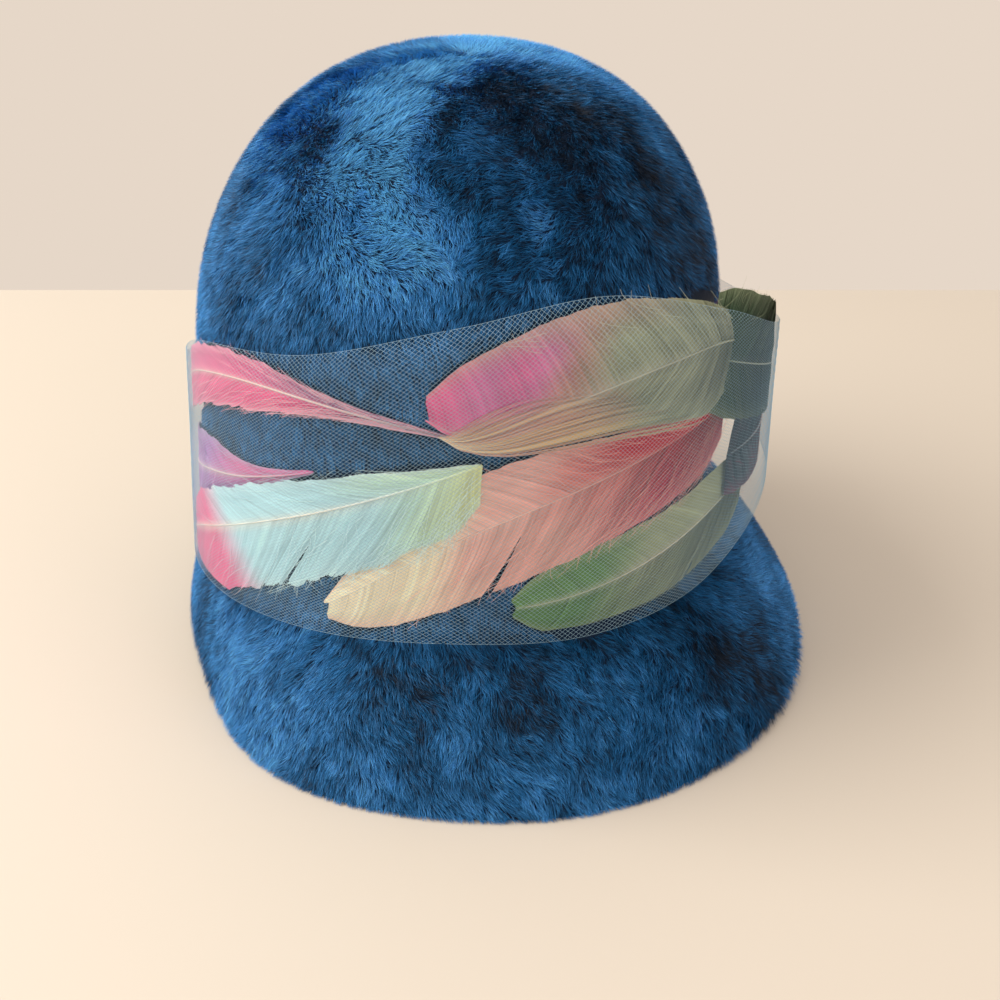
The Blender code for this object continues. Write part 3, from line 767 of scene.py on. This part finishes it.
def covered(bearing, rise, margin):
    """Whether a feather lies over the crown there."""
    found = np.zeros(len(bearing), bool)
    for row in FEATHERS:
        metres, quill, shaft, across = placed(row)
        for turn in (-360, 0, 360):
            place = np.stack([(bearing + turn) * metres[0], rise * metres[1]], 1) - quill
            along = place @ shaft / (shaft @ shaft)
            inside = np.clip(along, 0, 1)
            offset = place @ across - VANE_WIDTH * row["bow"] * np.sin(math.pi * inside)
            upper = row["above"][0] * np.interp(inside, *VANE_CURVES[row["above"][1]])
            lower = row["below"][0] * np.interp(inside, *VANE_CURVES[row["below"][1]])
            fray = DRESSING[row["name"]]["fray"] * 0.4
            reach = VANE_WIDTH * np.where(offset > 0, upper, lower) * (1 - fray) + margin
            slack = margin / np.linalg.norm(shaft)
            found |= (along > -slack) & (along < 1 + slack) & (np.abs(offset) < reach)
    return found


def crown_place(points):
    """Bearings and rises of points near the crown's surface."""
    place = points - AXIS_FOOT
    bearing = np.degrees(np.arctan2(place[:, 0], -place[:, 1]))
    for _ in range(2):
        foot = BRIM_DROP * wave(FOOT_WAVE, "foot", bearing)
        rise = (place[:, 2] - foot) / (CROWN_TOP - foot)
        bearing = np.degrees(np.arctan2(
            place[:, 0] - CROWN_LEAN * np.clip(rise, 0, 1),
            -place[:, 1] * CROWN_HALF_WIDTH / CROWN_FRONT_LENGTH,
        ))
    return bearing, rise


def hood_piece(material):
    """The felt under the nap: the part's own hood, merged and made smooth."""
    bpy.ops.object.select_all(action="DESELECT")
    mesh = NODES["felt_hood"].data.copy()
    mesh.name = "hood"
    piece = bpy.data.objects.new("hood", mesh)
    bpy.context.scene.collection.objects.link(piece)
    shape = bmesh.new()
    shape.from_mesh(mesh)
    bmesh.ops.remove_doubles(shape, verts=shape.verts, dist=0.00001)
    bmesh.ops.join_triangles(
        shape, faces=shape.faces, angle_face_threshold=0.6, angle_shape_threshold=0.9
    )
    shape.to_mesh(mesh)
    shape.free()
    bpy.context.view_layer.objects.active = piece
    piece.select_set(True)
    soft = piece.modifiers.new("soft", "SUBSURF")
    soft.levels = soft.render_levels = 1
    bpy.ops.object.modifier_apply(modifier="soft")
    piece.data.materials.clear()
    piece.data.materials.append(material)
    piece.data.shade_smooth()
    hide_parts("felt_hood")
    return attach(piece, "root")


def sprouts(hood, count, dice):
    """Even random points on the hood's outside, with the surface's direction there."""
    mesh = hood.data
    mesh.calc_loop_triangles()
    corners = np.zeros(len(mesh.loop_triangles) * 3, np.int32)
    mesh.loop_triangles.foreach_get("vertices", corners)
    corners = corners.reshape(-1, 3)
    points = np.zeros(len(mesh.vertices) * 3)
    mesh.vertices.foreach_get("co", points)
    points = points.reshape(-1, 3)
    normals = np.zeros(len(mesh.vertices) * 3)
    mesh.vertices.foreach_get("normal", normals)
    normals = normals.reshape(-1, 3)
    flat = np.cross(points[corners[:, 1]] - points[corners[:, 0]],
                    points[corners[:, 2]] - points[corners[:, 0]])
    middle = points[corners].mean(1) - AXIS_FOOT
    outward = unit(flat)
    radial = unit(middle * (1, 1, 0))
    steep = (outward * radial).sum(1) * 0.8 + outward[:, 2] * 0.6
    keep = steep > 0.15
    corners, area = corners[keep], np.linalg.norm(flat[keep], axis=1)
    chosen = dice.choice(len(corners), count, p=area / area.sum())
    first, second = dice.uniform(size=(2, count))
    flip = first + second > 1
    first[flip], second[flip] = 1 - first[flip], 1 - second[flip]
    weights = np.stack([1 - first - second, first, second], 1)[..., None]
    corners = corners[chosen]
    return (points[corners] * weights).sum(1), unit((normals[corners] * weights).sum(1))


def patch_weights(points):
    """How far each patch of the nap holds at points."""
    height = points[:, 2] / CAD_HIGH.z
    bearing = crown_place(points)[0]
    radius = np.hypot(points[:, 0] - AXIS_FOOT[0], points[:, 1] - AXIS_FOOT[1])
    for patch in NAP_PATCHES:
        around = np.radians((bearing - patch["bearing"] + 180) % 360 - 180)
        away = np.hypot(around * radius, (height - patch["height"]) * CAD_HIGH.z)
        yield patch, np.exp(-((away / patch["size"]) ** 2))


def lie(points, normals):
    """The way the nap is brushed: down the hat, in wide swirls."""
    downhill = unit(np.array([0, 0, -1.0]) + normals * normals[:, 2:3])
    aside = np.cross(normals, downhill)
    turn = 0.45 * wander(points, 0.050, 3) + 0.30 * wander(points, 0.016, 4)
    turn = turn + 0.34 * wander(points, 0.006, 5)
    for patch, weight in patch_weights(points):
        turn = turn + math.radians(patch["turn"]) * weight
    return turn, downhill, aside


def painted_sheen_and_shade(points):
    """How light the nap is painted, from 0 to 1: painted sheen and painted shade, in patches
    where it lies differently.
    """
    light = 0.42 + 0.10 * wander(points, 0.026, 7) + 0.10 * wander(points, 0.010, 8)
    light = light + 0.10 * wander(points, 0.0042, 9)
    for patch, weight in patch_weights(points):
        light = light + patch["light"] * weight
    return light


def nap(hood, material):
    """The hood's long nap, tuft by tuft, in a few pieces. Each hair is one fine sliver."""
    dice = np.random.default_rng(11)
    tufts = int(NAP_AREA / TUFT_SIZE**2)
    seats, seat_normals = sprouts(hood, tufts, dice)
    turn, downhill, aside = lie(seats, seat_normals)
    turn = turn + dice.normal(0, 0.45, tufts)
    heading = downhill * np.cos(turn)[:, None] + aside * np.sin(turn)[:, None]
    tuft_light = dice.normal(0, 0.07, tufts)
    tree = KDTree(tufts)
    for index, seat in enumerate(seats):
        tree.insert(seat, index)
    tree.balance()
    roots, normals = sprouts(hood, NAP_HAIRS, dice)
    bearing, rise = crown_place(roots)
    keep = ~(covered(bearing, rise, 0.0006) & (rise > LOWEST_COVERED))
    roots, normals, bearing, rise = roots[keep], normals[keep], bearing[keep], rise[keep]
    count = len(roots)
    owner = np.array([tree.find(root)[1] for root in roots])
    turn, downhill, aside = lie(roots, normals)
    turn = turn + dice.normal(0, 0.32, count)
    ahead = downhill * np.cos(turn)[:, None] + aside * np.sin(turn)[:, None]
    ahead = unit(ahead * 0.65 + heading[owner] * 0.35)
    ahead = unit(ahead - normals * (ahead * normals).sum(1)[:, None])
    banded = (rise < wave(BAND_WAVE, "high", bearing) + 0.02) & (rise > 0)
    length = NAP_LENGTH * dice.uniform(0.45, 1.2, count) * np.where(banded, 0.8, 1)
    lift = NAP_LIFT * dice.uniform(0.3, 1.3, count) * np.where(banded, 0.5, 1)
    fall = np.maximum(-ahead[:, 2], 0.05)
    length = np.minimum(length, np.maximum((roots[:, 2] + 0.0006) / fall, SHORTEST_HAIR))
    gather = seats[owner] + heading[owner] * NAP_LENGTH + seat_normals[owner] * NAP_LIFT
    tip = roots + ahead * length[:, None] + normals * lift[:, None]
    tip = tip + (gather - tip) * np.where(banded, 0.06, 0.14)[:, None]
    tip[:, 2] = np.maximum(tip[:, 2], TABLE_GAP)
    tip_bearing, tip_rise = crown_place(tip)
    keep = ~(covered(tip_bearing, tip_rise, -0.0005) & (tip_rise > LOWEST_COVERED))
    # The nap's colour carries painted sheen and painted shade, patch by patch, tuft by tuft and
    # hair by hair.
    light = painted_sheen_and_shade(roots) + tuft_light[owner] + dice.normal(0, 0.16, count)
    light = np.clip(light, 0, 1.25)[:, None]
    dark, mid, bright = linear(NAP_PAINTED_SHADE), linear(TEAL_BLUE), linear(NAP_PAINTED_SHEEN)
    lower = dark + (mid - dark) * np.clip(light / MID_LIGHT, 0, 1)
    color = lower + (bright - lower) * np.clip((light - MID_LIGHT) / (1 - MID_LIGHT), 0, 1.15)
    roll = dice.normal(0, 0.6, count)[:, None]
    flat = unit(np.cross(ahead, normals)) * np.cos(roll) + normals * np.sin(roll)
    half = flat * NAP_WIDTH / 2 * dice.uniform(0.7, 1.3, count)[:, None]
    foot = roots - normals * NAP_DEPTH
    corners = np.stack([foot - half, foot + half, tip], 1)[keep]
    # Painted shade at the roots and a painted highlight at the tips.
    shades = np.stack([color * ROOT_SHADE, color * ROOT_SHADE, color * TIP_PAINTED_HIGHLIGHT], 1)[keep]
    shades = np.clip(shades, 0, 1)
    for index, share in enumerate(np.array_split(np.arange(len(corners)), NAP_PIECES)):
        faces = [np.arange(3 * len(share)).reshape(-1, 3)]
        points, dyes = corners[share].reshape(-1, 3), shades[share].reshape(-1, 3)
        piece = piece_of("nap_%d" % (index + 1), points, faces, dyes, material)
        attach(piece, "root")


def net_surface(bearing, share, lift):
    """The net's surface; share runs from its lower edge to its upper one."""
    low, high = wave(BAND_WAVE, "low", bearing), wave(BAND_WAVE, "high", bearing)
    stand = STAND_OUT * wave(BAND_WAVE, "stand", bearing)
    stand = stand + NET_OVER * wave(BAND_WAVE, "net", bearing)
    tuck = wave(BAND_WAVE, "tuck", bearing) * np.maximum(4 * share - 3, 0) ** 2
    return off_crown(bearing, low + (high - low) * share, stand * (1 - tuck) + lift)


def pulled(bearing, share):
    """The net's mesh pulled out of its even run, as it lies on the hat."""
    round_the_hat = np.radians(bearing)
    bearing = bearing + 0.9 * np.sin(3 * round_the_hat + 3 * share)
    bearing = bearing + 0.5 * np.sin(9 * round_the_hat - 6 * share + 1)
    hump = np.sin(math.pi * share)
    return bearing, share + hump * 0.025 * np.sin(5 * round_the_hat + 2 * share)


def net(material):
    """The veil: two sets of slanting threads and a thread along each edge."""
    count = int(2 * math.pi * BAND_RADIUS / NET_CELL)
    share = np.linspace(0, 1, NET_STEPS)[None, :]
    start = (np.arange(count) * 360 / count)[:, None]
    lean = math.degrees(NET_REACH / BAND_RADIUS)
    runs = []
    for slant, lift in ((1, NET_CROSSING), (-1, -NET_CROSSING)):
        bearing, height = pulled(start + slant * lean * share, share + 0 * start)
        runs.append(net_surface(bearing, height, np.full_like(bearing, lift)))
    bearing = np.linspace(0, 359.2, EDGE_STEPS)[None, :]
    for edge in (0.0, 1.0):
        runs.append(net_surface(bearing, np.full_like(bearing, edge), np.zeros_like(bearing)))
    points, quads, caps, used = [], [], [], 0
    for run in runs:
        block, walls, ends = tube(run, NET_THREAD / 2, 3)
        points.append(block)
        quads.append(walls + used)
        caps.append(ends + used)
        used += len(block)
    blocks = [np.concatenate(quads), np.concatenate(caps)]
    piece = piece_of("veil", np.concatenate(points), blocks, None, material)
    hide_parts("net_veil")
    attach(piece, "root")


def table_and_light():
    """A pale table, a soft light from the upper left and the camera."""
    bpy.ops.object.select_all(action="DESELECT")
    bpy.ops.mesh.primitive_plane_add(size=1, location=(0, 0, 0))
    table_top = bpy.context.object
    table_top.name = "table_top"
    table_top.scale = TABLE_SIZE
    table_top.location = (0.0, TABLE_EDGE - TABLE_SIZE[1] / 2, 0.0)
    surface = bpy.data.materials.new("pale_table")
    surface.use_nodes = True
    shader = surface.node_tree.nodes["Principled BSDF"]
    socket(shader, "Base Color", (*linear(TABLE_PAINT), 1))
    socket(shader, "Roughness", 0.55)
    table_top.data.materials.append(surface)
    world = bpy.data.worlds.new("room")
    bpy.context.scene.world = world
    world.use_nodes = True
    back = world.node_tree.nodes["Background"]
    socket(back, "Color", (*linear(ROOM_LIGHT), 1))
    socket(back, "Strength", 1.0)
    for row in LAMPS:
        lamp = bpy.data.lights.new(row["name"], "AREA")
        lamp.energy = row["power"]
        lamp.size = LAMP_SIZE
        lamp.color = tuple(linear(row["color"]))
        light = bpy.data.objects.new(row["name"], lamp)
        light.location = row["place"]
        aim = Vector(LAMP_AIM) - light.location
        light.rotation_euler = aim.to_track_quat("-Z", "Y").to_euler()
        bpy.context.scene.collection.objects.link(light)
    lens = bpy.data.cameras.new("camera")
    lens.lens = CAMERA_LENS
    lens.sensor_width = CAMERA_SENSOR
    camera = bpy.data.objects.new("camera", lens)
    target = Vector(CAMERA_AIM)
    tilt = math.radians(CAMERA_TILT)
    camera.location = target + Vector((0, -math.cos(tilt), math.sin(tilt))) * CAMERA_AWAY
    camera.rotation_euler = (target - camera.location).to_track_quat("-Z", "Y").to_euler()
    bpy.context.scene.collection.objects.link(camera)
    bpy.context.scene.camera = camera
    bpy.context.scene.view_settings.view_transform = "Standard"


def main():
    table_and_light()
    felt = finish_of("felt_ground", 0.9, 0.1, 900.0, 0.6, 0.25, UNDERFELT)
    hair = finish_of("felt_nap", 0.50, 0.0, 1500.0, 0.1, 0.20)
    thread = finish_of("veil_thread", 0.55, 0.1, 3000.0, 0.1, 0.10, NET_BLUE)
    hood = hood_piece(felt)
    nap(hood, hair)
    silks = {}
    for seed, row in enumerate(FEATHERS):
        slot = DRESSING[row["name"]]["slot"]
        if slot not in silks:
            silks[slot] = finish_of(slot + "_silk", 0.45, 0.10, 2200.0, 0.15, 0.08)
        feather(row, 100 + seed, silks[slot])
    net(thread)


main()
